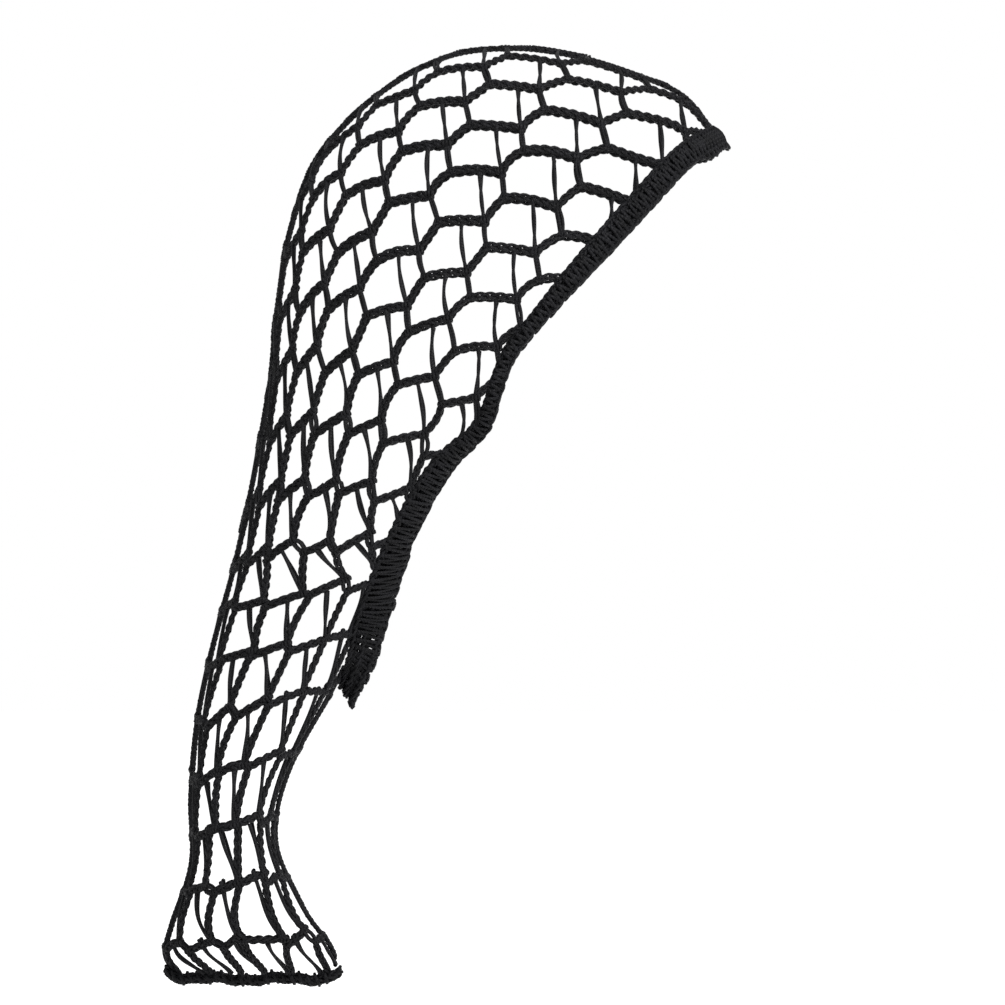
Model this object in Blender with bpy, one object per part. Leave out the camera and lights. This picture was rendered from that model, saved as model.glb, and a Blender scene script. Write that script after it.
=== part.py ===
"""Crochet sleep bonnet: a coarse net worn over the hair, with a stretch band and a closed bag end.

Metres, +X to the front, +Z up. The origin is on the middle line of the crown, where the net's
inner face rests on the head. The net is one hollow wall, drawn as slices that leave the top and
back outline, then cut through in sheared six-sided cells.
"""
import math
import bpy
import bmesh
import numpy as np
from mathutils import Vector

NET_DEPTH = 0.260
NET_HEIGHT = 0.425
CROWN_WIDTH = 0.160
NET_WALL = 0.0026
STRAND_WIDTH = 0.0050
CELL_RUN = 0.0540
ROW_GAP = 0.0300
ROUND_GAP = 0.0400
BAG_COLUMNS = 8
BAND_WIDTH = 0.0100
BAND_THICKNESS = 0.0042
SEAM_HEIGHT = 0.0042
CLEARANCE = 0.0003
RIM_TRIM = 0.0018
END_TRIM = 0.0003

# Slices from the brow over the crown and down the back to the closed end.
# x, reach, edge: shares of NET_DEPTH. z: share of NET_HEIGHT. half: share of CROWN_WIDTH.
# reach is the way in to the widest place, edge the way in to the opening's rim.
# tilt is the slice's fall in degrees. turn, run and gap steer the net: 0 where rows follow
# the outline and 1 where they cross it, then shares of CELL_RUN and ROW_GAP.
# band: share of BAND_WIDTH.
SLICE_COLUMNS = ("name", "x", "z", "reach", "half", "edge", "tilt", "turn", "run", "gap", "band")
SLICES = [
    ("brow", 0.362, -0.079, 0.305, 0.360, 0.000, 102, 0.00, 1.00, 0.65, 0.90),
    ("front", 0.310, -0.043, 0.320, 0.388, 0.099, 97, 0.00, 1.00, 0.73, 0.98),
    ("fore", 0.225, -0.020, 0.353, 0.419, 0.208, 89, 0.00, 1.00, 0.84, 1.00),
    ("rise", 0.121, -0.001, 0.381, 0.452, 0.310, 81, 0.00, 1.00, 0.91, 0.96),
    ("apex", 0.009, 0.007, 0.398, 0.480, 0.390, 73, 0.00, 1.00, 0.99, 0.87),
    ("top", -0.112, -0.004, 0.405, 0.494, 0.447, 64, 0.00, 1.00, 1.00, 0.76),
    ("crown", -0.234, -0.048, 0.398, 0.500, 0.472, 54, 0.24, 0.93, 1.00, 0.62),
    ("back", -0.331, -0.113, 0.377, 0.500, 0.466, 44, 0.74, 0.82, 1.00, 0.54),
    ("mid_back", -0.377, -0.187, 0.350, 0.497, 0.436, 34, 1.00, 0.70, 1.00, 0.51),
    ("low_back", -0.400, -0.266, 0.315, 0.486, 0.404, 25, 1.00, 0.60, 0.98, 0.50),
    ("ear", -0.412, -0.346, 0.270, 0.458, 0.365, 14, 1.00, 0.55, 0.95, 0.58),
    ("nape", -0.440, -0.444, 0.215, 0.413, 0.306, 0, 1.00, 0.55, 0.92, 0.82),
    ("neck", -0.474, -0.541, 0.177, 0.357, 0.269, -6, 1.00, 0.55, 0.92, 1.00),
    ("shoulder", -0.512, -0.629, 0.145, 0.303, 0.262, -11, 1.00, 0.55, 0.92, 1.00),
    ("tie", -0.538, -0.704, 0.132, 0.275, 0.264, -14, 1.00, 0.55, 0.92, 0.91),
    ("bag_mid", -0.550, -0.789, 0.093, 0.256, 0.186, -13, 1.00, 0.55, 0.92, 0.91),
    ("bag_low", -0.549, -0.859, 0.081, 0.247, 0.162, -12, 1.00, 0.55, 0.92, 0.91),
    ("flare", -0.582, -0.922, 0.121, 0.219, 0.242, -6, 1.00, 0.55, 0.92, 0.91),
    ("corner", -0.595, -0.956, 0.151, 0.140, 0.302, -2, 1.00, 0.55, 0.92, 0.91),
    ("end", -0.576, -0.979, 0.144, 0.034, 0.288, 0, 1.00, 0.55, 0.92, 0.91),
]

# Where a bar of the net ends, as shares of the step along its row and of the step to the next row.
BAR_ROW_SHARE = 0.36
BAR_GAP_SHARE = 0.44
BAR_SIDES = (1, 4)

STATIONS = 900
OVERRUN = 0.10
ARC_STEPS = 180
BAND_STATIONS = 110
SEAM_SIDES = 24
RIM_STEP = 0.007
PATCH_STEP = 0.002
SHORTEST_SIDE = 0.0030
LEAST_SIDE = 0.0008
SHARPEST = 0.9
ROOM_RATIO = 1.35
LEAST_ROOM = 0.5


def smooth_rows(rows, steps):
    """Catmull-Rom curve through the rows of a table, with every column carried along."""
    first = 2 * rows[0] - rows[1]
    last = 2 * rows[-1] - rows[-2]
    pts = np.vstack([first, rows, last])
    out = []
    for k in range(1, len(pts) - 2):
        t = np.linspace(0, 1, steps, endpoint=False)[:, None]
        a, b, c, d = pts[k - 1], pts[k], pts[k + 1], pts[k + 2]
        out.append(0.5 * (2 * b + (c - a) * t + (2 * a - 5 * b + 4 * c - d) * t ** 2
                          + (3 * b - a - 3 * c + d) * t ** 3))
    out.append(pts[-2][None])
    return np.vstack(out)


class NetForm:
    """The net's outer face: a place on it is the way along the outline and the way in from it."""

    def __init__(self):
        names = SLICE_COLUMNS[1:]
        rows = np.array([row[1:] for row in SLICES], float)
        unit = {"x": NET_DEPTH, "z": NET_HEIGHT, "reach": NET_DEPTH, "half": CROWN_WIDTH,
                "edge": NET_DEPTH, "run": CELL_RUN, "gap": ROW_GAP, "band": BAND_WIDTH}
        for k, name in enumerate(names):
            rows[:, k] *= unit.get(name, 1.0)
        fine = smooth_rows(rows, 24)
        step = np.hypot(np.diff(fine[:, 0]), np.diff(fine[:, 1]))
        way = np.concatenate([[0], np.cumsum(step)])
        self.length = way[-1]
        self.way = np.linspace(-OVERRUN * self.length, (1 + OVERRUN) * self.length, STATIONS)
        for k, name in enumerate(names):
            setattr(self, name, np.interp(self.way, way, fine[:, k]))
        self.step = self.way[1] - self.way[0]
        self.closed_from = way[24 * self.first_closed(rows, names)]
        self.measure_slices()
        self.lay_cells()

    def first_closed(self, rows, names):
        reach, edge = names.index("reach"), names.index("edge")
        for k, row in enumerate(rows):
            if row[edge] >= 1.99 * row[reach]:
                return k
        return len(rows) - 1

    def measure_slices(self):
        angle = np.linspace(0, 2 * math.pi, 2 * ARC_STEPS + 1)
        mid = (angle[1:] + angle[:-1]) / 2
        self.angle = angle
        length = np.hypot(self.reach[:, None] * np.sin(mid), self.half[:, None] * np.cos(mid))
        length = np.cumsum(length * (angle[1] - angle[0]), axis=1)
        self.arc = np.hstack([np.zeros((STATIONS, 1)), length])
        self.round = self.arc[:, -1]
        share = np.clip(1 - self.edge / self.reach, -1, 1)
        turned = np.arccos(share)
        rim = np.array([np.interp(turned[k], angle, self.arc[k]) for k in range(STATIONS)])
        before = self.way < 0
        rim[before] = 2 * self.way[before]
        self.rim = rim

    def lay_cells(self):
        blend = np.clip((self.way - self.closed_from) / (0.06 * self.length) + 1.5, 0, 1)
        blend = blend * blend * (3 - 2 * blend)
        column = self.round / BAG_COLUMNS
        self.run = self.run * (1 - blend) + column * blend
        self.gap = self.gap * (1 - blend) + column * blend
        rows = self.turn / ROUND_GAP
        cells = -(1 - self.turn) / CELL_RUN
        self.rows = np.concatenate([[0], np.cumsum((rows[1:] + rows[:-1]) / 2 * self.step)])
        total = np.concatenate([[0], np.cumsum((cells[1:] + cells[:-1]) / 2 * self.step)])
        self.cells = total - total[-1]

    def at(self, values, way):
        return np.interp(way, self.way, values)

    def place(self, row, cell):
        """Way along the outline and way in from it, for a place given in rows and cells."""
        inward = (row - self.rows) * self.gap
        left = self.cells + inward / self.run - cell
        turns = np.nonzero((left[:-1] >= 0) & (left[1:] < 0))[0]
        if len(turns) == 0:
            return None
        k = turns[0]
        w = left[k] / (left[k] - left[k + 1])
        return self.way[k] + w * self.step, inward[k] * (1 - w) + inward[k + 1] * w

    def wrapped(self, way, inward):
        full = self.at(self.round, way)
        return (inward + full / 2) % full - full / 2

    def inside(self, way, inward):
        """How far a place lies inside the net: below zero it is in the opening or past an end."""
        around = abs(self.wrapped(way, inward))
        if way >= self.closed_from:
            room = math.hypot(way - self.closed_from, self.at(self.round, way) / 2 - around)
        else:
            room = self.at(self.rim, way) - around
        return min(room - RIM_TRIM, self.length - END_TRIM - way)

    def point(self, way, inward):
        place = min(max((way - self.way[0]) / self.step, 0), STATIONS - 1.001)
        k = int(place)
        w = place - k
        arc = self.arc[k] * (1 - w) + self.arc[k + 1] * w
        around = inward % arc[-1]
        angle = np.interp(around, arc, self.angle)
        deep = self.at(self.reach, way) * (1 - math.cos(angle))
        tilt = math.radians(self.at(self.tilt, way))
        return Vector((self.at(self.x, way) + deep * math.cos(tilt),
                       -self.at(self.half, way) * math.sin(angle),
                       self.at(self.z, way) - deep * math.sin(tilt)))

    def normal(self, way, inward):
        d = 0.0015
        low = min(max(way, d), self.length - d)
        along = self.point(low + d, inward) - self.point(low - d, inward)
        across = self.point(low, inward + d) - self.point(low, inward - d)
        n = along.cross(across)
        return n.normalized() if n.length > 0 else Vector((0, 0, 1))


def cell_outline(form, i, j):
    """Corners of one cell, with the middles of its long sides, as ways on the net's face."""
    a, b = BAR_ROW_SHARE, BAR_GAP_SHARE
    start = {"P": (0.0, 0.0), "Q": (a, b)}

    def corner(kind, i, j):
        along, over = start[kind]
        return j + over, i + j + along + over

    ring = [corner("Q", i, j), corner("P", i + 1, j), corner("Q", i + 1, j),
            corner("P", i + 1, j + 1), corner("Q", i, j + 1), corner("P", i, j + 1)]
    ways = []
    for k, (row, cell) in enumerate(ring):
        nrow, ncell = ring[(k + 1) % 6]
        ways.append((row, cell))
        if k in BAR_SIDES:
            ways.append(((row + nrow) / 2, (cell + ncell) / 2))
    placed = [form.place(row, cell) for row, cell in ways]
    return None if any(p is None for p in placed) else placed


def crossing(form, a, b):
    """The place on side a-b where the net ends, found from the same end whichever way it runs."""
    if (a[0], a[1]) > (b[0], b[1]):
        a, b = b, a
    fa = form.inside(*a)
    for _ in range(40):
        m = ((a[0] + b[0]) / 2, (a[1] + b[1]) / 2)
        fm = form.inside(*m)
        if (fm > 0) == (fa > 0):
            a, fa = m, fm
        else:
            b = m
    return ((a[0] + b[0]) / 2, (a[1] + b[1]) / 2)


def trimmed(form, ring):
    """The ring's part on the net; where it meets the net's edge it gets points along the edge."""
    inside = [form.inside(*p) > 0 for p in ring]
    if all(inside):
        return ring
    if not any(inside):
        return None
    out = []
    count = len(ring)
    for k in range(count):
        a, b = ring[k], ring[(k + 1) % count]
        if inside[k]:
            out.append(a)
        if inside[k] != inside[(k + 1) % count]:
            out.append(crossing(form, a, b))
            if inside[k]:
                out.append("gap")
    if out.count("gap") != 1:
        return None
    at = out.index("gap")
    a, b = out[at - 1], out[(at + 1) % len(out)]
    extra = edge_points(form, a, b)
    return out[:at] + extra + out[at + 1:]


def edge_points(form, a, b):
    """Places along the net's edge between two places on it."""
    span = (form.point(*a) - form.point(*b)).length
    count = int(span / RIM_STEP)
    out = []
    for k in range(1, count + 1):
        t = k / (count + 1)
        way, inward = a[0] + (b[0] - a[0]) * t, a[1] + (b[1] - a[1]) * t
        out.append(onto_edge(form, way, inward, a, b))
    return out


def onto_edge(form, way, inward, a, b):
    """Moves a place square to the line a-b until it lies on the net's edge."""
    dx, dy = b[0] - a[0], b[1] - a[1]
    size = math.hypot(dx, dy) or 1.0
    nx, ny = -dy / size, dx / size
    best = None
    reach = 0.6 * size
    steps = 24
    last = form.inside(way - nx * reach, inward - ny * reach)
    for k in range(1, steps + 1):
        r = -reach + 2 * reach * k / steps
        now = form.inside(way + nx * r, inward + ny * r)
        if (now > 0) != (last > 0):
            if best is None or abs(r) < abs(best):
                best = r
        last = now
    if best is None:
        return (way, inward)
    r0 = best - 2 * reach / steps
    return crossing(form, (way + nx * r0, inward + ny * r0), (way + nx * best, inward + ny * best))


def net_cells(form):
    """All cells of the net. Round the closed bag each column is taken once."""
    cells = []
    span = int(2 * form.length / min(CELL_RUN, ROUND_GAP))
    for j in range(-span, span):
        for i in range(-span, span):
            middle = form.place(j + 0.9, i + j + 1.4)
            if middle is None:
                continue
            if abs(middle[1]) > 0.5 * form.at(form.round, middle[0]):
                continue
            ring = cell_outline(form, i, j)
            if ring is None:
                continue
            ring = trimmed(form, ring)
            if ring is not None and len(ring) >= 3:
                cells.append(ring)
    return cells


class FlatPatch:
    """The net's face round one cell, laid flat so that a ring on it can be moved in evenly."""

    def __init__(self, form, ring):
        self.way = sum(p[0] for p in ring) / len(ring)
        self.inward = sum(p[1] for p in ring) / len(ring)
        here = form.point(self.way, self.inward)
        along = (form.point(self.way + PATCH_STEP, self.inward) - here) / PATCH_STEP
        across = (form.point(self.way, self.inward + PATCH_STEP) - here) / PATCH_STEP
        self.stretch = along.length
        self.lean = across.dot(along) / along.length
        self.rise = (across - along * (self.lean / along.length)).length

    def laid(self, place):
        way, inward = place[0] - self.way, place[1] - self.inward
        return Vector((way * self.stretch + inward * self.lean, inward * self.rise))

    def back(self, spot):
        inward = spot.y / self.rise
        return self.way + (spot.x - inward * self.lean) / self.stretch, self.inward + inward


def shrunk(form, ring, distance):
    """A smaller ring inside a cell's ring, or None where there is no room for it.

    Places close together share one place of the smaller ring. Where the sides can't all be moved
    in, the ring is made smaller about its middle, or its flattest corners are left out.
    """
    patch = FlatPatch(form, ring)
    points = [patch.laid(p) for p in ring]
    kept = [0]
    for k in range(1, len(points)):
        if (points[k] - points[kept[-1]]).length > SHORTEST_SIDE:
            kept.append(k)
    if len(kept) > 3 and (points[kept[-1]] - points[0]).length < SHORTEST_SIDE:
        kept.pop()
    if len(kept) < 3:
        return None
    wide = [points[k] for k in kept]
    small = moved_in(wide, distance)
    if small is None:
        middle = sum(wide, Vector((0, 0))) / len(wide)
        room = min(line_distance(middle, a, b) for a, b in zip(wide, wide[1:] + wide[:1]))
        if room > ROOM_RATIO * distance:
            small = [middle + (p - middle) * (1 - distance / room) for p in wide]
    while small is None and len(wide) > 3:
        wide.pop(flattest(wide))
        small = moved_in(wide, distance)
        if small is not None and not clear_of(small, points, distance):
            small = None
    if small is None:
        return None
    nearest =[min(range(len(wide)), key=lambda n: (p - wide[n]).length) for p in points]
    return [patch.back(p) for p in small], nearest


def flattest(points):
    """The corner whose loss changes the ring's area least."""
    count = len(points)
    return min(range(count), key=lambda k: abs((points[k] - points[k - 1]).cross(
        points[(k + 1) % count] - points[k])))


def clear_of(small, points, distance):
    """Whether the corners and side middles of the smaller ring stay off the wider ring's sides."""
    middles = [(a + b) / 2 for a, b in zip(small, small[1:] + small[:1])]
    sides = list(zip(points, points[1:] + points[:1]))
    return all(side_distance(p, a, b) > LEAST_ROOM * distance
               for p in small + middles for a, b in sides)


def line_distance(p, a, b):
    side = b - a
    return abs((p - a).cross(side)) / side.length


def side_distance(p, a, b):
    side = b - a
    share = (p - a).dot(side) / max(side.length_squared, LEAST_SIDE ** 2)
    return (p - a - side * min(max(share, 0.0), 1.0)).length


def moved_in(points, distance):
    """The ring with every side moved in by one distance, or None where a side turns over."""
    count = len(points)
    area = sum(points[k - 1].cross(points[k]) for k in range(count))
    shift = math.copysign(distance, area)
    sides = [(points[(k + 1) % count] - points[k]).normalized() for k in range(count)]
    out = []
    for k in range(count):
        before, after = sides[k - 1], sides[k]
        square = Vector((-before.y - after.y, before.x + after.x))
        out.append(points[k] + square * (2 * shift / max(square.length_squared, SHARPEST)))
    for k in range(count):
        if sides[k].dot(out[(k + 1) % count] - out[k]) < LEAST_SIDE:
            return None
    return out


def material(name, color, rough):
    mat = bpy.data.materials.new(name)
    mat.use_nodes = True
    shader = mat.node_tree.nodes["Principled BSDF"]
    shader.inputs["Base Color"].default_value = (*color, 1.0)
    shader.inputs["Roughness"].default_value = rough
    shader.inputs["Metallic"].default_value = 0.0
    return mat


def add_object(name, bm, mat):
    mesh = bpy.data.meshes.new(name)
    bm.to_mesh(mesh)
    bm.free()
    mesh.shade_smooth()
    mesh.set_sharp_from_angle(angle=math.radians(50))
    obj = bpy.data.objects.new(name, mesh)
    obj.data.materials.append(mat)
    bpy.context.scene.collection.objects.link(obj)
    return obj


def build_net(form, mat):
    bm = bmesh.new()
    for ring in net_cells(form):
        inner = shrunk(form, ring, STRAND_WIDTH / 2)
        outer = [bm.verts.new(form.point(*p)) for p in ring]
        if inner is None:
            bm.faces.new(outer)
            continue
        small, nearest = inner
        hole = [bm.verts.new(form.point(*p)) for p in small]
        count = len(outer)
        for k in range(count):
            n = (k + 1) % count
            near, far = hole[nearest[k]], hole[nearest[n]]
            side = (outer[k], outer[n], near) if near == far else (outer[k], outer[n], far, near)
            bm.faces.new(side)
    bmesh.ops.remove_doubles(bm, verts=bm.verts[:], dist=0.00002)
    bmesh.ops.recalc_face_normals(bm, faces=bm.faces[:])
    top = max(bm.faces, key=lambda f: f.calc_center_median().z)
    if top.normal.z < 0:
        bmesh.ops.reverse_faces(bm, faces=bm.faces[:])
    obj = add_object("net_bag", bm, mat)
    wall = obj.modifiers.new("wall", "SOLIDIFY")
    wall.thickness = NET_WALL
    wall.offset = -1.0
    wall.use_even_offset = False
    wall.use_rim = True
    return obj


def opening_loop(form):
    """Even stations round the opening's rim, as ways on the net's face, right side first."""
    turn = np.linspace(0, math.pi, 1600)
    ways = form.closed_from * (1 - np.cos(turn)) / 2
    rims = np.interp(ways, form.way, form.rim)
    rims[0] = 0.0
    rims[-1] = form.at(form.round, form.closed_from) / 2
    right = [(w, r) for w, r in zip(ways, rims)]
    left = [(w, -r) for w, r in reversed(right)]
    ring = right + left[1:-1]
    points = [form.point(*p) for p in ring]
    gaps = [(points[(k + 1) % len(points)] - points[k]).length for k in range(len(points))]
    total = np.concatenate([[0], np.cumsum(gaps)])
    out = []
    for k in range(BAND_STATIONS):
        at = total[-1] * k / BAND_STATIONS
        n = min(int(np.searchsorted(total, at, side="right")) - 1, len(ring) - 1)
        out.append(ring[n])
    return out


def build_band(form, mat):
    ring = opening_loop(form)
    points = [form.point(*p) for p in ring]
    count = len(points)
    bm = bmesh.new()
    loops = []
    half = BAND_THICKNESS / 2
    shape = [(0.0, -0.55), (0.0, 0.55), (0.25, 1.0), (0.85, 0.9), (1.0, 0.0), (0.85, -0.9),
             (0.25, -1.0)]
    for k in range(count):
        along = (points[(k + 1) % count] - points[k - 1]).normalized()
        out = form.normal(*ring[k]).cross(along).normalized()
        normal = along.cross(out).normalized()
        start = points[k] + out * CLEARANCE - normal * (NET_WALL / 2)
        width = form.at(form.band, ring[k][0])
        loops.append([bm.verts.new(start + out * (s * width) + normal * (h * half))
                      for s, h in shape])
    sides = len(shape)
    for k in range(count):
        a, b = loops[k], loops[(k + 1) % count]
        for m in range(sides):
            n = (m + 1) % sides
            bm.faces.new((a[m], a[n], b[n], b[m]))
    bmesh.ops.recalc_face_normals(bm, faces=bm.faces[:])
    return add_object("edge_band", bm, mat)


def build_seam(form, mat):
    """The closing row under the net's end: a rounded bar as long and wide as that end."""
    way = form.length
    reach, half = form.at(form.reach, way), form.at(form.half, way)
    tilt = math.radians(form.at(form.tilt, way))
    start = Vector((form.at(form.x, way), 0, form.at(form.z, way)))
    level = Vector((math.cos(tilt), 0, -math.sin(tilt)))
    down = Vector((-math.sin(tilt), 0, -math.cos(tilt)))
    bm = bmesh.new()
    rings = []
    for depth, shrink in ((0.0, 0.30), (0.25, 0.08), (0.60, 0.0), (1.0, 0.32)):
        lift = CLEARANCE + SEAM_HEIGHT * depth
        cut = shrink * half
        ring = []
        for k in range(SEAM_SIDES):
            t = 2 * math.pi * k / SEAM_SIDES
            along = reach + (reach - cut) * -math.cos(t)
            aside = (half - cut) * math.sin(t)
            ring.append(bm.verts.new(start + level * along + down * lift + Vector((0, aside, 0))))
        rings.append(ring)
    for a, b in zip(rings, rings[1:]):
        for k in range(SEAM_SIDES):
            n = (k + 1) % SEAM_SIDES
            bm.faces.new((a[k], a[n], b[n], b[k]))
    bm.faces.new(rings[0])
    bm.faces.new(rings[-1])
    bmesh.ops.recalc_face_normals(bm, faces=bm.faces[:])
    return add_object("bottom_seam", bm, mat)


for old in list(bpy.data.objects):
    bpy.data.objects.remove(old, do_unlink=True)

yarn = material("yarn_black", (0.018, 0.018, 0.021), 0.86)
band_yarn = material("band_black", (0.014, 0.014, 0.016), 0.90)
seam_yarn = material("seam_black", (0.013, 0.013, 0.015), 0.90)

net_form = NetForm()
build_net(net_form, yarn)
build_band(net_form, band_yarn)
build_seam(net_form, seam_yarn)
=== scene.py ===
"""Looks of the crochet sleep bonnet: real chains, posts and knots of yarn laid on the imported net's form."""
import math
import bpy
import numpy as np
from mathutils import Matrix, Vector


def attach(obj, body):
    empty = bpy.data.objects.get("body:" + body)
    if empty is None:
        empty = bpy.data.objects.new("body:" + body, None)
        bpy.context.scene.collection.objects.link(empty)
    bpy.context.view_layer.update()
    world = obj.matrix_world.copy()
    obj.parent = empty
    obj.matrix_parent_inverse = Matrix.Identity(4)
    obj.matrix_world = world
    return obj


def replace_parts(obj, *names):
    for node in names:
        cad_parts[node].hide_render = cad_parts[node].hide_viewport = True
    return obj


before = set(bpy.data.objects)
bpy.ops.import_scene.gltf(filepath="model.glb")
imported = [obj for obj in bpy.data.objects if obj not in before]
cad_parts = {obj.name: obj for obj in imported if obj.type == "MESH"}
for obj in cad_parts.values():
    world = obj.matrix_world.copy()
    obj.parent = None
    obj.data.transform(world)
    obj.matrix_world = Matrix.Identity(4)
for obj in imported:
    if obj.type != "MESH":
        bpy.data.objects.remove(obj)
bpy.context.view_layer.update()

NET_DEPTH = 0.260
NET_HEIGHT = 0.425
CROWN_WIDTH = 0.160
BAND_WIDTH = 0.0100
YARN_DEPTH = 0.0013

# Slices from the front over the crown and down the back to the closed end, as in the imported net.
# x, reach, edge: shares of NET_DEPTH. z: share of NET_HEIGHT. half: share of CROWN_WIDTH.
# tilt: the slice's fall in degrees. band: share of BAND_WIDTH.
SLICE_COLUMNS = ("name", "x", "z", "reach", "half", "edge", "tilt", "band")
SLICES = [
    ("brow", 0.362, -0.079, 0.305, 0.360, 0.000, 102, 0.90),
    ("front", 0.310, -0.043, 0.320, 0.388, 0.099, 97, 0.98),
    ("fore", 0.225, -0.020, 0.353, 0.419, 0.208, 89, 1.00),
    ("rise", 0.121, -0.001, 0.381, 0.452, 0.310, 81, 0.96),
    ("apex", 0.009, 0.007, 0.398, 0.480, 0.390, 73, 0.87),
    ("top", -0.112, -0.004, 0.405, 0.494, 0.447, 64, 0.76),
    ("crown", -0.234, -0.048, 0.398, 0.500, 0.472, 54, 0.62),
    ("back", -0.331, -0.113, 0.377, 0.500, 0.466, 44, 0.54),
    ("mid_back", -0.377, -0.187, 0.350, 0.497, 0.436, 34, 0.51),
    ("low_back", -0.400, -0.266, 0.315, 0.486, 0.404, 25, 0.50),
    ("ear", -0.412, -0.346, 0.270, 0.458, 0.365, 14, 0.58),
    ("nape", -0.440, -0.444, 0.215, 0.413, 0.306, 0, 0.82),
    ("neck", -0.474, -0.541, 0.177, 0.357, 0.269, -6, 1.00),
    ("shoulder", -0.512, -0.629, 0.145, 0.303, 0.262, -11, 1.00),
    ("tie", -0.538, -0.704, 0.132, 0.275, 0.264, -14, 0.91),
    ("bag_mid", -0.550, -0.789, 0.093, 0.256, 0.186, -13, 0.91),
    ("bag_low", -0.549, -0.859, 0.081, 0.247, 0.162, -12, 0.91),
    ("flare", -0.582, -0.922, 0.121, 0.219, 0.242, -6, 0.91),
    ("corner", -0.595, -0.956, 0.151, 0.140, 0.302, -2, 0.91),
    ("end", -0.576, -0.979, 0.144, 0.034, 0.288, 0, 0.91),
]
SHUT_RATIO = 1.99
FINE_STEPS = 24
BROW_STEPS = 6
STATIONS = 1400
OVERRUN = 0.06
ARC_STEPS = 240

# Down to the bag the net's pattern is laid out flat in side view: a knot lies at the sum of these
# terms of its row and cell, both counted from the lattice's middle in its unit. forward, up: metres.
LATTICE_COLUMNS = ("row_power", "cell_power", "forward", "up")
LATTICE = [(0, 0, -0.0741, -0.1164), (0, 1, 0.0968, 0.0904), (0, 2, 0.0259, -0.0450),
           (1, 0, -0.0136, -0.1091), (1, 1, -0.0288, 0.0294), (2, 0, 0.0023, -0.0027)]
LATTICE_ROW, LATTICE_CELL, LATTICE_UNIT = 4.5, -0.5, 4.0
MOST_ROW_UNITS, MOST_CELL_UNITS = 2.1, 1.9
SHEET_INWARD = np.linspace(-0.04, 0.26, 101)
SHEET_STRIDE = 4
SHEET_MISS = 0.010
LEAST_TURN = 0.15
SMALL_WAY = 0.001

# From LATTICE_FROM to LATTICE_TO down the outline the pattern becomes the bag's: even rows round it
# and BAG_COLUMNS columns down it.
LATTICE_FROM, LATTICE_TO = 0.33, 0.43
ROUND_WAY = 0.1623351
ROUND_GAP = 0.0257
ROUND_CELL = 4.402
BAG_COLUMNS = 13
TOP_PITCH = 0.0347
LOW_PITCH = 0.0184
PITCH_FROM, PITCH_TO = 0.1235, 0.3035
BAG_FROM, BAG_TO = 0.380, 0.440

# Where a row's thick bar ends, as shares of the step along the row and of the step to the next.
# way: metres along the outline.
BAR_COLUMNS = ("way", "along", "over")
BARS = [(0.0, 0.40, 0.36), (0.26, 0.42, 0.34), (0.31, 0.38, 0.38), (0.35, 0.32, 0.50),
        (0.395, 0.24, 0.66), (0.44, 0.12, 0.74), (0.62, 0.10, 0.76)]
BAR_START, BAR_MIDDLE, BAR_END = 0.0, 0.55, 1.0
ROWS = range(-8, 30)
CELLS = range(-36, 16)

# The yarn and its stitches, in metres.
PLIES = 3
PLY_RADIUS = 0.00082
PLY_SWING = 0.00124
PLY_LIFT = 0.00062
CHAIN_PERIOD = 0.0138
POST_RADIUS = 0.00080
POST_SPREAD = (0.0004, 0.0009)
LOW_SPREAD = 0.0007
LOW_POSTS_FROM = 0.31
THIN_RADIUS = 0.00078
THIN_WAVE = 0.0003
SLOPE_SIZE = 0.86
BAR_SIZES = (0.94, 1.06)
BAR_BOW = 0.0005
SLOPE_BOW = 0.0004
STRAND_BOW = 0.0006
STRAND_SIDES = 5
SAMPLE_STEP = 0.00125
PLAIN_STEP = 0.0022
LEAST_CHAIN = 0.0015
LEAST_PLAIN = 0.0012
WANDER = 0.0008
KNOT_SIZE = 0.00122
SMALL_KNOT_SIZE = 0.00104
KNOT_PITCH = 0.95
KNOT_LEAN = 0.35
KNOT_TAPER = 0.12
KNOT_TALL = 0.8
KNOT_YARN = 0.62

# How far a strand may reach past the middle line, in pitches, past the rim, in metres, and round the
# net, as a share of the whole way round.
MIDDLE_SLACK = 0.30
RIM_SLACK = 0.0010
MOST_ROUND = 0.62


def smooth_rows(rows, steps):
    """Catmull-Rom curve through the rows of a table, with every column carried along."""
    pts = np.vstack([2 * rows[0] - rows[1], rows, 2 * rows[-1] - rows[-2]])
    out = []
    for k in range(1, len(pts) - 2):
        t = np.linspace(0, 1, steps, endpoint=False)[:, None]
        a, b, c, d = pts[k - 1], pts[k], pts[k + 1], pts[k + 2]
        out.append(0.5 * (2 * b + (c - a) * t + (2 * a - 5 * b + 4 * c - d) * t ** 2
                          + (3 * b - a - 3 * c + d) * t ** 3))
    out.append(pts[-2][None])
    return np.vstack(out)


def eased(x, a, b):
    """From 0 at a to 1 at b, level at both ends."""
    t = np.clip((x - a) / (b - a), 0, 1)
    return t * t * (3 - 2 * t)


def from_table(rows, names, name, way):
    """A table's column at these ways along the outline, straight from row to row."""
    ways = [row[names.index("way")] for row in rows]
    return np.interp(way, ways, [row[names.index(name)] for row in rows])


def unit_rows(vectors):
    return vectors / np.maximum(np.linalg.norm(vectors, axis=1, keepdims=True), 1e-12)


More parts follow.
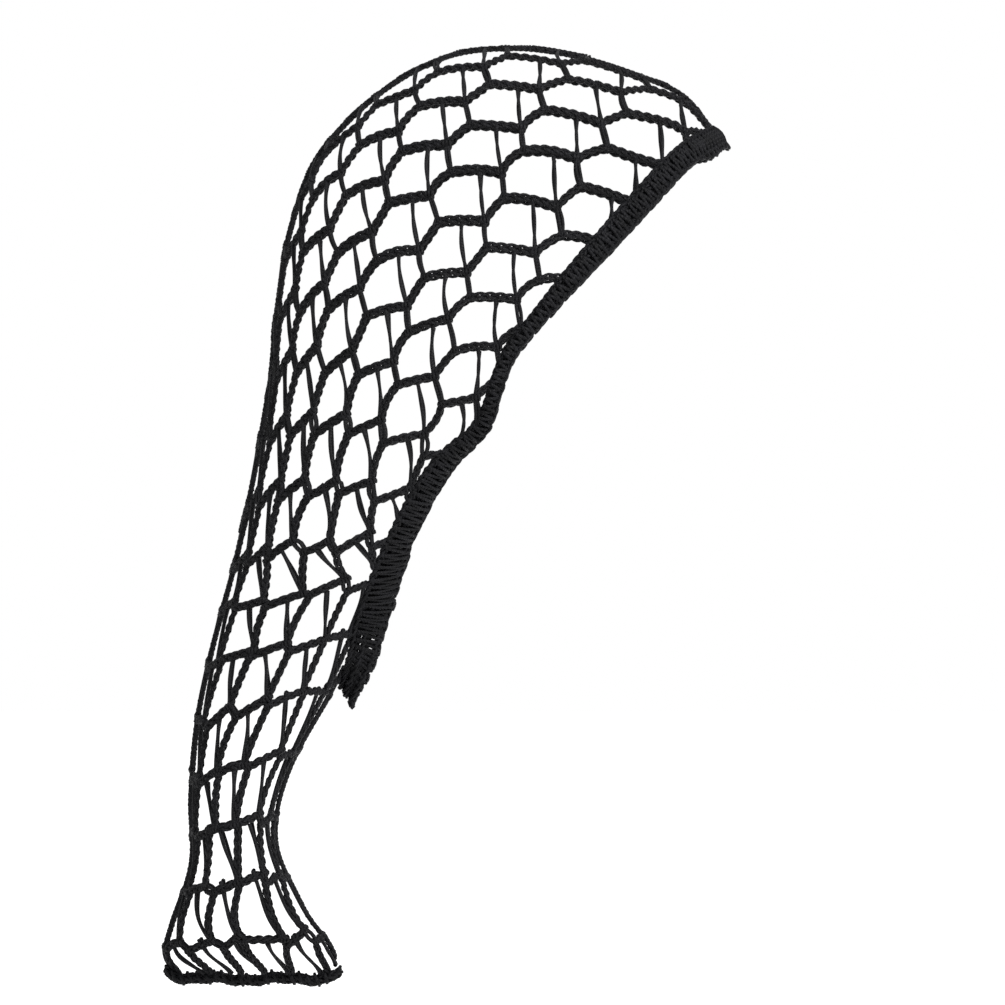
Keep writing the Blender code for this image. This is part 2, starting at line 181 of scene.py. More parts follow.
class NetForm:
    """The net's outer face. A place on it is the way along the outline and the way in from it."""

    def __init__(self):
        names = SLICE_COLUMNS[1:]
        rows = np.array([row[1:] for row in SLICES], float)
        unit = {"x": NET_DEPTH, "z": NET_HEIGHT, "reach": NET_DEPTH, "half": CROWN_WIDTH,
                "edge": NET_DEPTH, "band": BAND_WIDTH}
        for k, name in enumerate(names):
            rows[:, k] *= unit.get(name, 1.0)
        fine = smooth_rows(rows, FINE_STEPS)
        way = np.concatenate([[0], np.cumsum(np.hypot(np.diff(fine[:, 0]), np.diff(fine[:, 1])))])
        self.length = way[-1]
        self.way = np.linspace(-OVERRUN * self.length, (1 + OVERRUN) * self.length, STATIONS)
        self.step = self.way[1] - self.way[0]
        for k, name in enumerate(names):
            setattr(self, name, np.interp(self.way, way, fine[:, k]))
        before = np.minimum(self.way, 0.0)
        self.x = self.x + before * (fine[BROW_STEPS, 0] - fine[0, 0]) / way[BROW_STEPS]
        self.z = self.z + before * (fine[BROW_STEPS, 1] - fine[0, 1]) / way[BROW_STEPS]
        reach, edge = names.index("reach"), names.index("edge")
        shut = [k for k, row in enumerate(rows) if row[edge] >= SHUT_RATIO * row[reach]][0]
        self.closed_from = way[FINE_STEPS * shut]
        angle = np.linspace(0, 2 * math.pi, 2 * ARC_STEPS + 1)
        mid = (angle[1:] + angle[:-1]) / 2
        self.angle = angle
        piece = np.hypot(self.reach[:, None] * np.sin(mid), self.half[:, None] * np.cos(mid))
        piece = np.cumsum(piece * (angle[1] - angle[0]), axis=1)
        self.arc = np.hstack([np.zeros((STATIONS, 1)), piece])
        self.round = self.arc[:, -1]
        self.quarter = self.arc[:, ARC_STEPS // 2]
        turned = np.arccos(np.clip(1 - self.edge / self.reach, -1, 1))
        self.rim = np.array([np.interp(turned[k], angle, self.arc[k]) for k in range(STATIONS)])
        self.rim = np.where(self.way < 0, 2 * self.way, self.rim)
        low = eased(self.way, PITCH_FROM, PITCH_TO)
        bag = eased(self.way, BAG_FROM, BAG_TO)
        pitch = TOP_PITCH + (LOW_PITCH - TOP_PITCH) * low
        self.pitch = pitch * (1 - bag) + self.round / BAG_COLUMNS * bag
        self.sheet_ways = self.way[::SHEET_STRIDE]
        self.sheet = self.flat(*np.meshgrid(self.sheet_ways, SHEET_INWARD, indexing="ij"))

    def at(self, values, way):
        return np.interp(way, self.way, values)

    def flat(self, way, inward):
        """Where a place lies when the net's side is laid flat: metres forward and up."""
        tilt = np.radians(self.at(self.tilt, way))
        deep = self.at(self.reach, way) + inward - self.at(self.quarter, way)
        return np.stack([self.at(self.x, way) + deep * np.cos(tilt),
                         self.at(self.z, way) - deep * np.sin(tilt)], axis=-1)

    def unflat(self, spot):
        """The way and way in of a spot on the flat side, or None off it."""
        off = np.hypot(self.sheet[..., 0] - spot[0], self.sheet[..., 1] - spot[1])
        k, m = np.unravel_index(np.argmin(off), off.shape)
        if off[k, m] > SHEET_MISS:
            return None
        place = np.array([self.sheet_ways[k], SHEET_INWARD[m]])
        for _ in range(3):
            here = self.flat(place[0], place[1])
            ahead = (self.flat(place[0] + SMALL_WAY, place[1]) - here) / SMALL_WAY
            across = (self.flat(place[0], place[1] + SMALL_WAY) - here) / SMALL_WAY
            turn = ahead[0] * across[1] - ahead[1] * across[0]
            if abs(turn) < LEAST_TURN:
                break
            miss = spot - here
            place = place + np.array([miss[0] * across[1] - miss[1] * across[0],
                                      ahead[0] * miss[1] - ahead[1] * miss[0]]) / turn
        return place

    def place(self, row, cell):
        """Where this row and cell of the pattern lie on the net."""
        way = ROUND_WAY + ROUND_GAP * (row - cell)
        if way >= self.way[-1]:
            return None
        low = np.array([way, (cell + ROUND_CELL) * self.at(self.pitch, way)])
        share = float(eased(way, LATTICE_FROM, LATTICE_TO))
        if share >= 1.0:
            return low
        r, c = (row - LATTICE_ROW) / LATTICE_UNIT, (cell - LATTICE_CELL) / LATTICE_UNIT
        if abs(c) > MOST_CELL_UNITS or abs(r) > MOST_ROW_UNITS:
            return None
        spot = sum(r ** row_power * c ** cell_power * np.array([forward, up])
                   for row_power, cell_power, forward, up in LATTICE)
        if share > 0.0:
            spot = spot * (1 - share) + self.flat(low[0], low[1]) * share
        return self.unflat(spot)

    def room(self, way, inward):
        """How far places lie inside the net: below zero they are in the opening or past the end."""
        side = self.at(self.rim, way) - np.abs(inward)
        side = np.where(way >= self.closed_from, 1.0, side)
        return np.minimum(side, self.length - way)

    def points(self, way, inward):
        way, inward = np.atleast_1d(way), np.atleast_1d(inward)
        place = np.clip((way - self.way[0]) / self.step, 0, STATIONS - 1.001)
        k = place.astype(int)
        w = (place - k)[:, None]
        arc = self.arc[k] * (1 - w) + self.arc[k + 1] * w
        around = np.mod(inward, arc[:, -1])
        at = np.array([np.interp(around[n], arc[n], self.angle) for n in range(len(way))])
        deep = self.at(self.reach, way) * (1 - np.cos(at))
        tilt = np.radians(self.at(self.tilt, way))
        return np.stack([self.at(self.x, way) + deep * np.cos(tilt),
                         -self.at(self.half, way) * np.sin(at),
                         self.at(self.z, way) - deep * np.sin(tilt)], axis=-1)

    def normals(self, way, inward):
        d = 0.0012
        low = np.clip(way, d, self.length - d)
        along = self.points(low + d, inward) - self.points(low - d, inward)
        across = self.points(low, inward + d) - self.points(low, inward - d)
        return unit_rows(np.cross(along, across))


class Heap:
    """Many small closed tubes gathered into one mesh, with a map of length and turn."""

    def __init__(self):
        self.points, self.quads, self.tris = [], [], []
        self.quad_map, self.tri_map = [], []
        self.count = 0

    def tube(self, line, normal, radius, sides=STRAND_SIDES):
        """A closed tube along the line, with pointed ends."""
        n = len(line)
        radius = np.broadcast_to(np.asarray(radius, float), (n,))
        ahead, side = frame_of(line, normal)
        up = np.cross(side, ahead)
        turn = 2 * math.pi * np.arange(sides) / sides
        ring = (line[:, None, :] + radius[:, None, None] * (
            np.cos(turn)[None, :, None] * side[:, None, :]
            + np.sin(turn)[None, :, None] * up[:, None, :]))
        first = line[0] - ahead[0] * radius[0] * 0.6
        last = line[-1] + ahead[-1] * radius[-1] * 0.6
        base = self.count
        self.points.append(np.vstack([ring.reshape(-1, 3), first, last]))
        self.count += n * sides + 2
        k = np.arange(n - 1)[:, None] * sides
        m = np.arange(sides)[None, :]
        nxt = (m + 1) % sides
        quads = np.stack([k + m, k + sides + m, k + sides + nxt, k + nxt], axis=-1) + base
        self.quads.append(quads.reshape(-1, 4))
        gone = lengths(line)
        u = np.stack(np.broadcast_arrays(gone[:-1, None], gone[1:, None], gone[1:, None],
                                         gone[:-1, None]), axis=-1)
        u = np.broadcast_to(u, (n - 1, sides, 4))
        v = np.stack([m, m, m + 1, m + 1], axis=-1) / sides
        v = np.broadcast_to(v, (n - 1, sides, 4))
        self.quad_map.append(np.stack([u, v], axis=-1).reshape(-1, 2))
        m = np.arange(sides)
        nxt = (m + 1) % sides
        tip = np.full(sides, base + n * sides)
        top = base + (n - 1) * sides
        start = np.stack([tip, base + m, base + nxt], axis=-1)
        end = np.stack([tip + 1, top + nxt, top + m], axis=-1)
        self.tris.append(np.vstack([start, end]))
        tri_map = np.zeros((2 * sides * 3, 2))
        tri_map[3 * sides:, 0] = gone[-1]
        self.tri_map.append(tri_map)

    def build(self, name, material, slot):
        points = np.vstack(self.points)
        quads, tris = np.vstack(self.quads), np.vstack(self.tris)
        mesh = bpy.data.meshes.new(name)
        mesh.vertices.add(len(points))
        mesh.vertices.foreach_set("co", points.astype(np.float32).ravel())
        loops = np.concatenate([quads.ravel(), tris.ravel()]).astype(np.int32)
        mesh.loops.add(len(loops))
        mesh.loops.foreach_set("vertex_index", loops)
        totals = np.concatenate([np.full(len(quads), 4), np.full(len(tris), 3)]).astype(np.int32)
        starts = np.concatenate([[0], np.cumsum(totals)[:-1]]).astype(np.int32)
        mesh.polygons.add(len(totals))
        mesh.polygons.foreach_set("loop_start", starts)
        mesh.polygons.foreach_set("use_smooth", np.ones(len(totals), bool))
        mesh.update(calc_edges=True)
        layer = mesh.uv_layers.new(name="yarn")
        uv = np.vstack(self.quad_map + self.tri_map).astype(np.float32)
        layer.data.foreach_set("uv", uv.ravel())
        mesh.validate()
        obj = bpy.data.objects.new(name, mesh)
        mesh.materials.append(material)
        bpy.context.scene.collection.objects.link(obj)
        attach(obj, "root")
        print("piece", name, "triangles", 2 * len(quads) + len(tris))
        return obj


def lengths(points):
    return np.concatenate([[0], np.cumsum(np.linalg.norm(np.diff(points, axis=0), axis=1))])


def frame_of(line, normal):
    """Directions ahead and to the side along a line."""
    ahead = unit_rows(np.gradient(line, axis=0))
    return ahead, unit_rows(np.cross(ahead, normal))


def even(points, normal, step):
    """The same line with evenly spaced points."""
    gone = lengths(points)
    count = max(3, int(round(gone[-1] / step)) + 1)
    at = np.linspace(0, gone[-1], count)
    line = np.stack([np.interp(at, gone, points[:, k]) for k in range(3)], axis=-1)
    n = np.stack([np.interp(at, gone, normal[:, k]) for k in range(3)], axis=-1)
    return line, unit_rows(n), at


def chain(heap, points, normal, size=1.0, phase=0.0, step=SAMPLE_STEP, sink=YARN_DEPTH):
    """A crochet chain: three plies that pass over and under each other."""
    line, n, at = even(points, normal, step)
    if at[-1] < LEAST_CHAIN:
        return
    size = np.interp(at, lengths(points), np.broadcast_to(size, len(points)))
    side = frame_of(line, n)[1]
    pace = np.concatenate([[0], np.diff(at)]) / (CHAIN_PERIOD * size ** 0.5)
    theta = 2 * math.pi * np.cumsum(pace) + phase
    for ply in range(PLIES):
        turn = theta + 2 * math.pi * ply / PLIES
        swing = PLY_SWING * size * np.sin(turn)
        lift = PLY_LIFT * size * np.sin(2 * turn)
        path = line - n * sink + side * swing[:, None] + n * lift[:, None]
        wide = PLY_RADIUS * size * (1 + 0.10 * np.cos(2 * turn + 0.6))
        heap.tube(path, n, wide)


def plain(heap, points, normal, radius, shift=0.0, wave=0.0, phase=0.0):
    """One strand of yarn, a little to the side of its line."""
    line, n, at = even(points, normal, PLAIN_STEP)
    if at[-1] < LEAST_PLAIN:
        return
    side = frame_of(line, n)[1]
    t = at / at[-1]
    away = shift * np.sin(math.pi * t) ** 0.6 + wave * np.sin(math.pi * 2 * t + phase)
    path = line - n * YARN_DEPTH + side * away[:, None]
    heap.tube(path, n, radius * (1 + 0.35 * np.abs(2 * t - 1) ** 3))


def pair(heap, points, normal, spread):
    """Two smooth strands side by side, apart in the middle and together at their ends."""
    plain(heap, points, normal, radius=POST_RADIUS, shift=spread)
    plain(heap, points, normal, radius=POST_RADIUS, shift=-spread)


form = NetForm()
knots = {}


def knot(i, j, kind):
    """Place of a knot as way and way in: P starts a row's bar, Q ends it and M is on it."""
    if (i, j, kind) in knots:
        return knots[(i, j, kind)]
    guess = form.place(j + 0.4, i + j + 0.8)
    found = None
    if guess is not None:
        along = float(from_table(BARS, BAR_COLUMNS, "along", guess[0]))
        over = float(from_table(BARS, BAR_COLUMNS, "over", guess[0]))
        share = {"P": BAR_START, "M": BAR_MIDDLE, "Q": BAR_END}[kind]
        found = form.place(j + over * share, i + j + (along + over) * share)
    if found is not None:
        local = np.random.default_rng((j + 500) * 4001 + (i + 500) * 7 + ord(kind))
        found = found + local.normal(0, WANDER, 2) * (1 + float(eased(found[0], BAG_FROM, BAG_TO)))
    knots[(i, j, kind)] = found
    return found


def strand(a, b, bow=0.0):
    """Evenly spaced places from knot a to knot b on the right half, cut where that half ends."""
    if a is None or b is None:
        return None
    t = np.linspace(0, 1, 25)
    way = a[0] + (b[0] - a[0]) * t
    inward = a[1] + (b[1] - a[1]) * t
    span = math.hypot(b[0] - a[0], b[1] - a[1])
    if span < 1e-5:
        return None
    lift = np.sin(math.pi * t) * bow
    way = way - (b[1] - a[1]) / span * lift
    inward = inward + (b[0] - a[0]) / span * lift
    if inward.min() > -MIDDLE_SLACK * form.at(form.pitch, way[12]):
        inward = np.maximum(inward, 0.0)
    front = form.at(form.round, way) / 2
    keep = (form.room(way, inward) > -RIM_SLACK) & (inward >= 0) & (inward <= front)
    if keep.sum() < 3:
        return None
    runs = np.nonzero(keep)[0]
    runs = max(np.split(runs, np.nonzero(np.diff(runs) > 1)[0] + 1), key=len)
    if len(runs) < 3:
        return None
    way, inward = way[runs], inward[runs]
    return form.points(way, inward), form.normals(way, inward)


def lump(heap, place, ahead_to, size, sign):
    """A knot: three turns of yarn wrapped close together round the place where strands meet."""
    way, inward = place
    if way > form.length or form.room(np.array([way]), np.array([inward]))[0] < 0.0:
        return
    if inward < -MIDDLE_SLACK * form.at(form.pitch, way) or inward > form.at(form.round, way) / 2:
        return
    inward = max(inward, 0.0)
    flip = np.array([1.0, sign, 1.0])
    centre = form.points(way, inward)[0] * flip
    normal = form.normals(np.array([way]), np.array([inward]))[0] * flip
    aim = form.points(ahead_to[0], ahead_to[1])[0] * flip - centre
    aim -= normal * aim.dot(normal)
    aim /= max(np.linalg.norm(aim), 1e-9)
    side = np.cross(aim, normal)
    for turn in (-1, 0, 1):
        t = np.linspace(0, 2 * math.pi, 9)
        lean = KNOT_LEAN * turn
        radius = size * (1.0 - KNOT_TAPER * abs(turn))
        path = (centre - normal * YARN_DEPTH
                + aim * (turn * size * KNOT_PITCH + lean * size * np.sin(t)[:, None])
                + side * (radius * KNOT_PITCH * np.cos(t))[:, None]
                + normal * (radius * KNOT_TALL * np.sin(t))[:, None])
        heap.tube(path, np.broadcast_to(aim, path.shape), size * KNOT_YARN)


def both_sides(found):
    """The right half's line and the left half's, once only where it runs down the middle."""
    if found is None:
        return []
    points, normal = found
    if np.abs(points[:, 1]).max() < 0.0005:
        return [("right", points, normal)]
    flip = np.array([1.0, -1.0, 1.0])
    return [("right", points, normal), ("left", points * flip, normal * flip)]


bars = {"right": Heap(), "left": Heap()}
slopes = {"right": Heap(), "left": Heap()}
posts = {"right": Heap(), "left": Heap()}
ties = {"right": Heap(), "left": Heap()}


def work_cell(i, j):
    """One cell's bar, slope, post, thin strand and knots, on both halves of the net."""
    start, end = knot(i, j, "P"), knot(i, j, "Q")
    if start is None or end is None:
        return
    middle = (start + end) / 2
    if abs(middle[1]) > MOST_ROUND * form.at(form.round, middle[0]):
        return
    local = np.random.default_rng((j + 60) * 997 + i + 60)
    phase = local.uniform(0, 6.28)
    spread = local.uniform(*POST_SPREAD)
    if middle[0] > LOW_POSTS_FROM:
        spread += LOW_SPREAD
    bar = both_sides(strand(start, end, bow=local.normal(0, BAR_BOW)))
    for side, points, normal in bar:
        chain(bars[side], points, normal, size=local.uniform(*BAR_SIZES), phase=phase)
    slope = strand(end, knot(i + 1, j, "P"), bow=local.normal(SLOPE_BOW, STRAND_BOW))
    for side, points, normal in both_sides(slope):
        chain(slopes[side], points, normal, size=SLOPE_SIZE, phase=phase + 2)
    post = strand(end, knot(i, j + 1, "P"), bow=local.normal(0, BAR_BOW))
    for side, points, normal in both_sides(post):
        pair(posts[side], points, normal, spread)
    thin = strand(knot(i, j, "M"), knot(i - 1, j + 1, "Q"), bow=local.normal(0, STRAND_BOW))
    for side, points, normal in both_sides(thin):
        plain(posts[side], points, normal, radius=THIN_RADIUS, wave=THIN_WAVE, phase=phase)
    for side, points, normal in bar:
        sign = 1.0 if side == "right" else -1.0
        lump(ties[side], end, start, KNOT_SIZE, sign)
        lump(ties[side], start, end, SMALL_KNOT_SIZE, sign)


for j in ROWS:
    for i in CELLS:
        work_cell(i, j)

# The middle row, worked along the outline from the front to the closed end.
middle_way = np.linspace(0.0, form.length, 400)
middle_points = form.points(middle_way, 0.0 * middle_way)
middle_normal = form.normals(middle_way, 0.0 * middle_way)
chain(bars["right"], middle_points, middle_normal, size=1.0, sink=YARN_DEPTH * 1.4)


def rim_line(count):
    """Even stations round the opening's rim, right side first: points, net normals, ways, length."""
    turn = np.linspace(0, math.pi, 1500)
    ways = form.closed_from * (1 - np.cos(turn)) / 2
    rims = form.at(form.rim, ways)
    rims[0] = 0.0
    rims[-1] = form.at(form.round, form.closed_from) / 2
    way = np.concatenate([ways, ways[::-1][1:-1]])
    inward = np.concatenate([rims, -rims[::-1][1:-1]])
    points = form.points(way, inward)
    normal = form.normals(way, inward)
    loop = np.vstack([points, points[:1]])
    gone = lengths(loop)
    at = np.linspace(0, gone[-1], count, endpoint=False)
    closed_n = np.vstack([normal, normal[:1]])
    closed_w = np.concatenate([way, way[:1]])
    line = np.stack([np.interp(at, gone, loop[:, k]) for k in range(3)], axis=-1)
    n = np.stack([np.interp(at, gone, closed_n[:, k]) for k in range(3)], axis=-1)
    return line, unit_rows(n), np.interp(at, gone, closed_w), gone[-1]


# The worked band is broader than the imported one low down, where it lies loose and soft.
# times: share of its packed width. forward, down: how far it turns to the front and down there.
LOOSE_COLUMNS = ("way", "times", "forward", "down")
LOOSE = [(0.0, 1.0, 0.0, 0.0), (0.27, 1.0, 0.0, 0.0), (0.32, 1.35, 0.0, 0.0), (0.355, 1.55, 0.0, 0.0),
         (0.394, 1.55, 0.0, 0.0), (0.42, 1.75, 0.7, 0.0), (0.445, 1.65, 1.0, 0.9),
         (0.4667, 1.65, 0.3, 2.6)]

rim_points, rim_normal, rim_way, rim_length = rim_line(660)
rim_ahead = unit_rows(np.roll(rim_points, -1, axis=0) - np.roll(rim_points, 1, axis=0))
rim_out = unit_rows(np.cross(rim_normal, rim_ahead))
rim_loose, rim_forward, rim_down = (
    from_table(LOOSE, LOOSE_COLUMNS, name, rim_way) for name in ("times", "forward", "down"))
rim_out = unit_rows(rim_out + np.stack([rim_forward, 0 * rim_forward, -rim_down], axis=-1))
rim_wide = form.at(form.band, rim_way) * rim_loose

# The band's rows of chain. share: how far out across its width. depth: how far under its face.
BAND_ROW_COLUMNS = ("share", "size", "depth")
BAND_ROWS = [(0.12, 1.0, 0.0), (0.88, 1.05, 0.0002), (0.36, 0.95, 0.0016), (0.64, 0.95, 0.0010),
             (0.50, 1.10, 0.0004)]
WIDE_BAND = 0.0090
BAND_SIZES = (0.62, 1.05)
BAND_STEP = 0.0016
WRAP_PITCH = 0.0036
WRAP_LEAN = 0.0018
WRAP_LIFT = 0.0011
WRAP_RADII = (0.00078, 0.00098)

band = Heap()
band_size = np.clip(rim_wide / WIDE_BAND, *BAND_SIZES)
for number, (share, scale, depth) in enumerate(BAND_ROWS):
    path = rim_points + rim_out * (rim_wide * share)[:, None] - rim_normal * depth
    path = np.vstack([path, path[:2]])
    normal = np.vstack([rim_normal, rim_normal[:2]])
    size = np.concatenate([band_size, band_size[:2]]) * scale
    chain(band, path, normal, size=size, phase=2.1 * number, step=BAND_STEP)

# Slanted stitches between the band's two edges, in pairs that open like a V.
count = int(rim_length / WRAP_PITCH)
for k in range(count):
    local = np.random.default_rng(500 + k)
    at = int(k / count * len(rim_points))
    here, ahead = rim_points[at], rim_ahead[at]
    out, normal, wide = rim_out[at], rim_normal[at], rim_wide[at]
    for lean in (-1, 1):
        t = np.linspace(0, 1, 5)[:, None]
        shift = lean * WRAP_LEAN * t + local.normal(0, 0.0003)
        path = (here + out * (wide * (0.04 + 0.92 * t)) + ahead * shift
                - normal * (YARN_DEPTH - WRAP_LIFT * np.sin(math.pi * t) - 0.0004))
        band.tube(path, np.broadcast_to(normal, path.shape), local.uniform(*WRAP_RADII))

# Edge stitches: low scallops all round, taller at half height and tallest at the front's tip.
SCALLOP_COLUMNS = ("way", "tall")
SCALLOPS = [(0.0, 0.0030), (0.010, 0.0026), (0.016, 0.0006), (0.170, 0.0005), (0.215, 0.0014),
            (0.330, 0.0012), (0.380, 0.0005), (0.47, 0.0005)]
SCALLOP_PITCH = 0.0050
SCALLOP_HALF = 0.0023
SCALLOP_RADIUS = 0.00078

edging = Heap()
count = int(rim_length / SCALLOP_PITCH)
for k in range(count):
    at = int(k / count * len(rim_points))
    here, ahead = rim_points[at], rim_ahead[at]
    out, normal, wide = rim_out[at], rim_normal[at], rim_wide[at]
    local = np.random.default_rng(900 + k)
    tall = from_table(SCALLOPS, SCALLOP_COLUMNS, "tall", rim_way[at]) * local.uniform(0.75, 1.25)
    t = np.linspace(-0.25 * math.pi, 1.25 * math.pi, 9)[:, None]
    path = (here + out * (wide * 0.96 + tall * (0.5 + np.sin(t) * 0.6))
            + ahead * (SCALLOP_HALF * np.cos(t)) - normal * (YARN_DEPTH + local.normal(0, 0.0003)))
    edging.tube(path, np.broadcast_to(normal, path.shape), SCALLOP_RADIUS)

# The closing row's chains. aside, low: metres off the net's closed end.
SEAM_COLUMNS = ("aside", "low", "size")
SEAM_ROWS = [(-0.0020, 0.0012, 1.0), (0.0020, 0.0012, 1.0), (0.0, 0.0028, 1.05), (0.0, 0.0002, 1.0)]
SEAM_PITCH = 0.0038
SEAM_HALF = 0.0034
SEAM_TALL = 0.0027
SEAM_RADII = (0.00080, 0.00100)

seam = Heap()
tilt = math.radians(float(form.at(form.tilt, form.length)))
seam_start = form.points(form.length, 0.0)[0]
seam_long = 2 * float(form.at(form.reach, form.length))
level = np.array([math.cos(tilt), 0, -math.sin(tilt)])
down = np.array([-math.sin(tilt), 0, -math.cos(tilt)])
aside = np.array([0.0, 1.0, 0.0])


def seam_sag(t):
    """How far the closing row hangs below its straight line: a slow wave, and lifted ends."""
    wave = 0.0007 * np.sin(2 * math.pi * t / 0.031 + 1) + 0.0004 * np.sin(2 * math.pi * t / 0.012)
    return wave - 0.0050 * np.exp(-(t + 0.004) / 0.005) - 0.0030 * np.exp(-(seam_long - t) / 0.004)


for row, (y, z, size) in enumerate(SEAM_ROWS):
    t = np.linspace(-0.003, seam_long + 0.001, 70)[:, None]
    path = seam_start + level * t + down * (z + seam_sag(t)) + aside * y
    normal = unit_rows(np.broadcast_to(-down + aside * np.sign(y) * 2, path.shape))
    chain(seam, path, normal, size=size, phase=row, sink=0.0)
for k in range(int(seam_long / SEAM_PITCH)):
    local = np.random.default_rng(70 + k)
    t = np.linspace(0, 2 * math.pi, 11)[:, None]
    along = k * SEAM_PITCH + 0.0006
    middle = seam_start + level * along + down * (0.0013 + float(seam_sag(along)))
    lean = local.uniform(0.0006, 0.0016)
    grow = local.uniform(0.88, 1.08)
    path = (middle + aside * (SEAM_HALF * grow * np.cos(t)) + down * (SEAM_TALL * grow * np.sin(t))
            + level * (lean * np.sin(t)))
    seam.tube(path, np.broadcast_to(level, path.shape), local.uniform(*SEAM_RADII))


def yarn_material(name, color, sheen, twist):
    """Black plied yarn: twist lines along the strand, fibre noise, a soft sheen."""
    mat = bpy.data.materials.new(name)
    mat.use_nodes = True
    nodes, links = mat.node_tree.nodes, mat.node_tree.links
    shader = nodes["Principled BSDF"]
    shader.inputs["Roughness"].default_value = 0.58
    shader.inputs["Specular IOR Level"].default_value = 0.06
    shader.inputs["Sheen Weight"].default_value = sheen
    shader.inputs["Sheen Roughness"].default_value = 0.45
    shader.inputs["Sheen Tint"].default_value = (0.62, 0.66, 0.74, 1)

    def math_node(operation, *inputs):
        node = nodes.new("ShaderNodeMath")
        node.operation = operation
        for k, value in enumerate(inputs):
            if isinstance(value, (int, float)):
                node.inputs[k].default_value = value
            else:
                links.new(value, node.inputs[k])
        return node.outputs[0]

    def noise(scale, detail):
        node = nodes.new("ShaderNodeTexNoise")
        node.inputs["Scale"].default_value = scale
        node.inputs["Detail"].default_value = detail
        links.new(coords.outputs["Object"], node.inputs["Vector"])
        return node.outputs["Fac"]

    uv = nodes.new("ShaderNodeUVMap")
    uv.uv_map = "yarn"
    split = nodes.new("ShaderNodeSeparateXYZ")
    links.new(uv.outputs["UV"], split.inputs["Vector"])
    coords = nodes.new("ShaderNodeTexCoord")
    along = math_node("MULTIPLY", split.outputs["X"], 1 / twist)
    total = math_node("MULTIPLY_ADD", split.outputs["Y"], float(PLIES), along)
    wave = math_node("SINE", math_node("MULTIPLY", total, 2 * math.pi))
    height = math_node("MULTIPLY_ADD", wave, 0.55, noise(2600, 3))
    bump = nodes.new("ShaderNodeBump")
    bump.inputs["Strength"].default_value = 0.75
    bump.inputs["Distance"].default_value = 0.00022
    links.new(height, bump.inputs["Height"])
    links.new(bump.outputs["Normal"], shader.inputs["Normal"])
    ramp = nodes.new("ShaderNodeValToRGB")
    ramp.color_ramp.elements[0].position = 0.35
    ramp.color_ramp.elements[0].color = (*[c * 0.6 for c in color], 1)
    ramp.color_ramp.elements[1].position = 0.68
    ramp.color_ramp.elements[1].color = (*[c * 1.6 for c in color], 1)
    links.new(noise(160, 4), ramp.inputs["Fac"])
    links.new(ramp.outputs["Color"], shader.inputs["Base Color"])
    return mat


NET_BLACK = (0.0018, 0.0018, 0.0022)
BAND_BLACK = (0.0016, 0.0016, 0.0020)
NET_SHEEN = 0.006
BAND_SHEEN = 0.008
TWIST = 0.0016
POST_TWIST = 0.0014

net_yarn = yarn_material("net_yarn_look", NET_BLACK, NET_SHEEN, TWIST)
post_yarn = yarn_material("post_yarn_look", NET_BLACK, NET_SHEEN, POST_TWIST)
band_yarn = yarn_material("band_yarn_look", BAND_BLACK, BAND_SHEEN, TWIST)
seam_yarn = yarn_material("seam_yarn_look", BAND_BLACK, BAND_SHEEN, TWIST)

for side in ("right", "left"):
    piece = bars[side].build("row_bars_" + side, net_yarn, "net_yarn")
    if side == "right":
        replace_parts(piece, "net_bag")
    slopes[side].build("row_slopes_" + side, net_yarn, "net_yarn")
    ties[side].build("row_knots_" + side, net_yarn, "net_yarn")
    posts[side].build("posts_" + side, post_yarn, "net_yarn")
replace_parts(band.build("edge_band_stitches", band_yarn, "band_yarn"), "edge_band")
edging.build("edge_loops", band_yarn, "band_yarn")
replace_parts(seam.build("bottom_row_stitches", seam_yarn, "seam_yarn"), "bottom_seam")

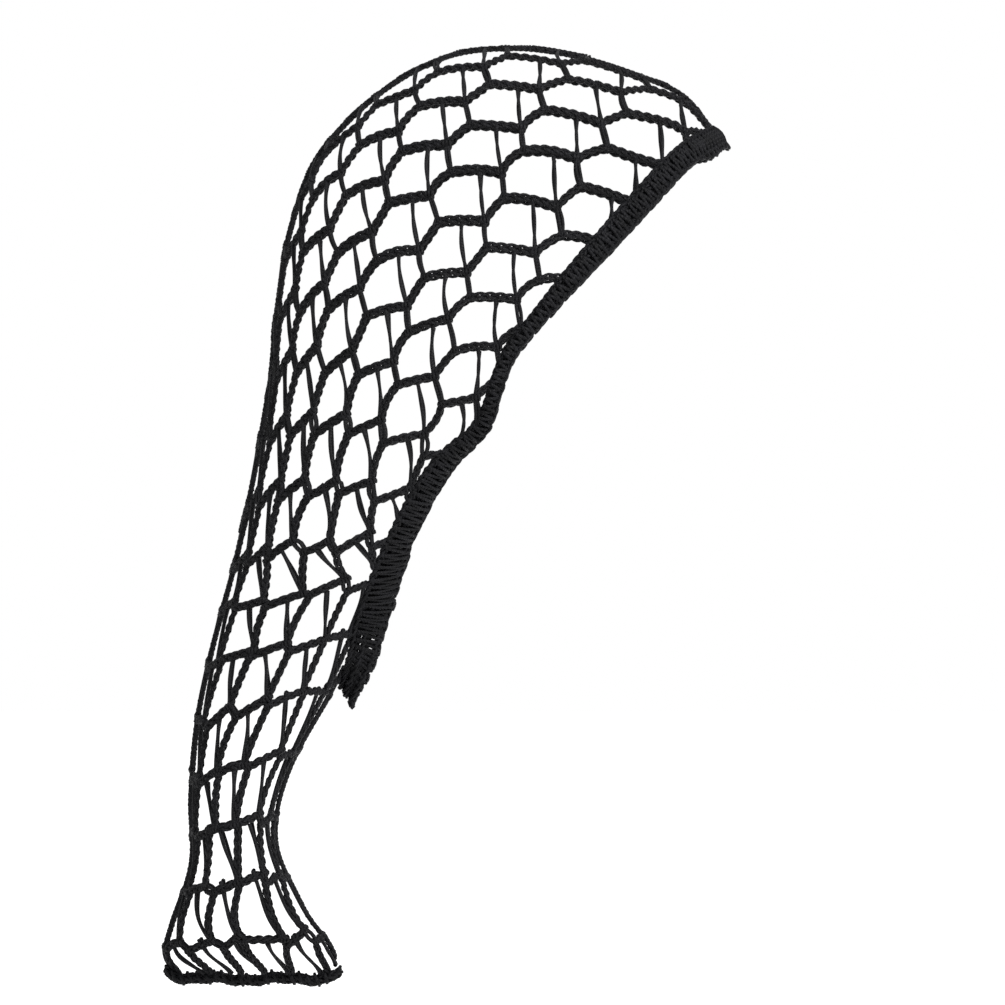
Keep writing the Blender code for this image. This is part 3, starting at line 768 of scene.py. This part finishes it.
FLOOR_Z = -0.455
FLOOR_SIZE = 40.0
bpy.ops.object.select_all(action="DESELECT")
bpy.ops.mesh.primitive_plane_add(size=FLOOR_SIZE, location=(0, 0, FLOOR_Z))
floor = bpy.context.object
floor.name = "studio_floor"
bpy.ops.object.transform_apply(location=True, rotation=False, scale=False)
pale = bpy.data.materials.new("pale_paper")
pale.use_nodes = True
pale_shader = pale.node_tree.nodes["Principled BSDF"]
pale_shader.inputs["Base Color"].default_value = (0.92, 0.92, 0.92, 1)
pale_shader.inputs["Roughness"].default_value = 1.0
pale_shader.inputs["Specular IOR Level"].default_value = 0.0
floor.data.materials.append(pale)

world = bpy.data.worlds.new("studio")
bpy.context.scene.world = world
world.use_nodes = True
world.node_tree.nodes["Background"].inputs["Color"].default_value = (1, 1, 1, 1)
world.node_tree.nodes["Background"].inputs["Strength"].default_value = 1.0


def softbox(name, place, aim, size, power):
    light = bpy.data.lights.new(name, "AREA")
    light.shape = "SQUARE"
    light.size = size
    light.energy = power
    lamp = bpy.data.objects.new(name, light)
    bpy.context.scene.collection.objects.link(lamp)
    lamp.location = place
    lamp.rotation_mode = "QUATERNION"
    lamp.rotation_quaternion = (Vector(aim) - Vector(place)).to_track_quat("-Z", "Y")


softbox("key_light", (1.0, -1.5, 1.2), (-0.02, 0, -0.18), 0.6, 150)
softbox("fill_light", (-1.6, -1.2, 0.3), (-0.05, 0, -0.2), 1.2, 12)

sun_data = bpy.data.lights.new("top_light", "SUN")
sun_data.energy = 1.0
sun_data.angle = math.radians(40)
sun = bpy.data.objects.new("top_light", sun_data)
bpy.context.scene.collection.objects.link(sun)
sun.rotation_euler = (math.radians(20), math.radians(10), 0)

CAMERA_AWAY = 12.0
PHOTO_WIDTH = 0.45225
SENSOR = 36
camera_data = bpy.data.cameras.new("camera")
camera_data.sensor_width = SENSOR
camera_data.lens = SENSOR * CAMERA_AWAY / PHOTO_WIDTH
camera_data.clip_end = 60
camera = bpy.data.objects.new("camera", camera_data)
bpy.context.scene.collection.objects.link(camera)
camera.location = (-0.0011, -CAMERA_AWAY, -0.2032)
camera.rotation_euler = (math.pi / 2, 0, 0)
bpy.context.scene.camera = camera
bpy.context.scene.view_settings.view_transform = "Standard"
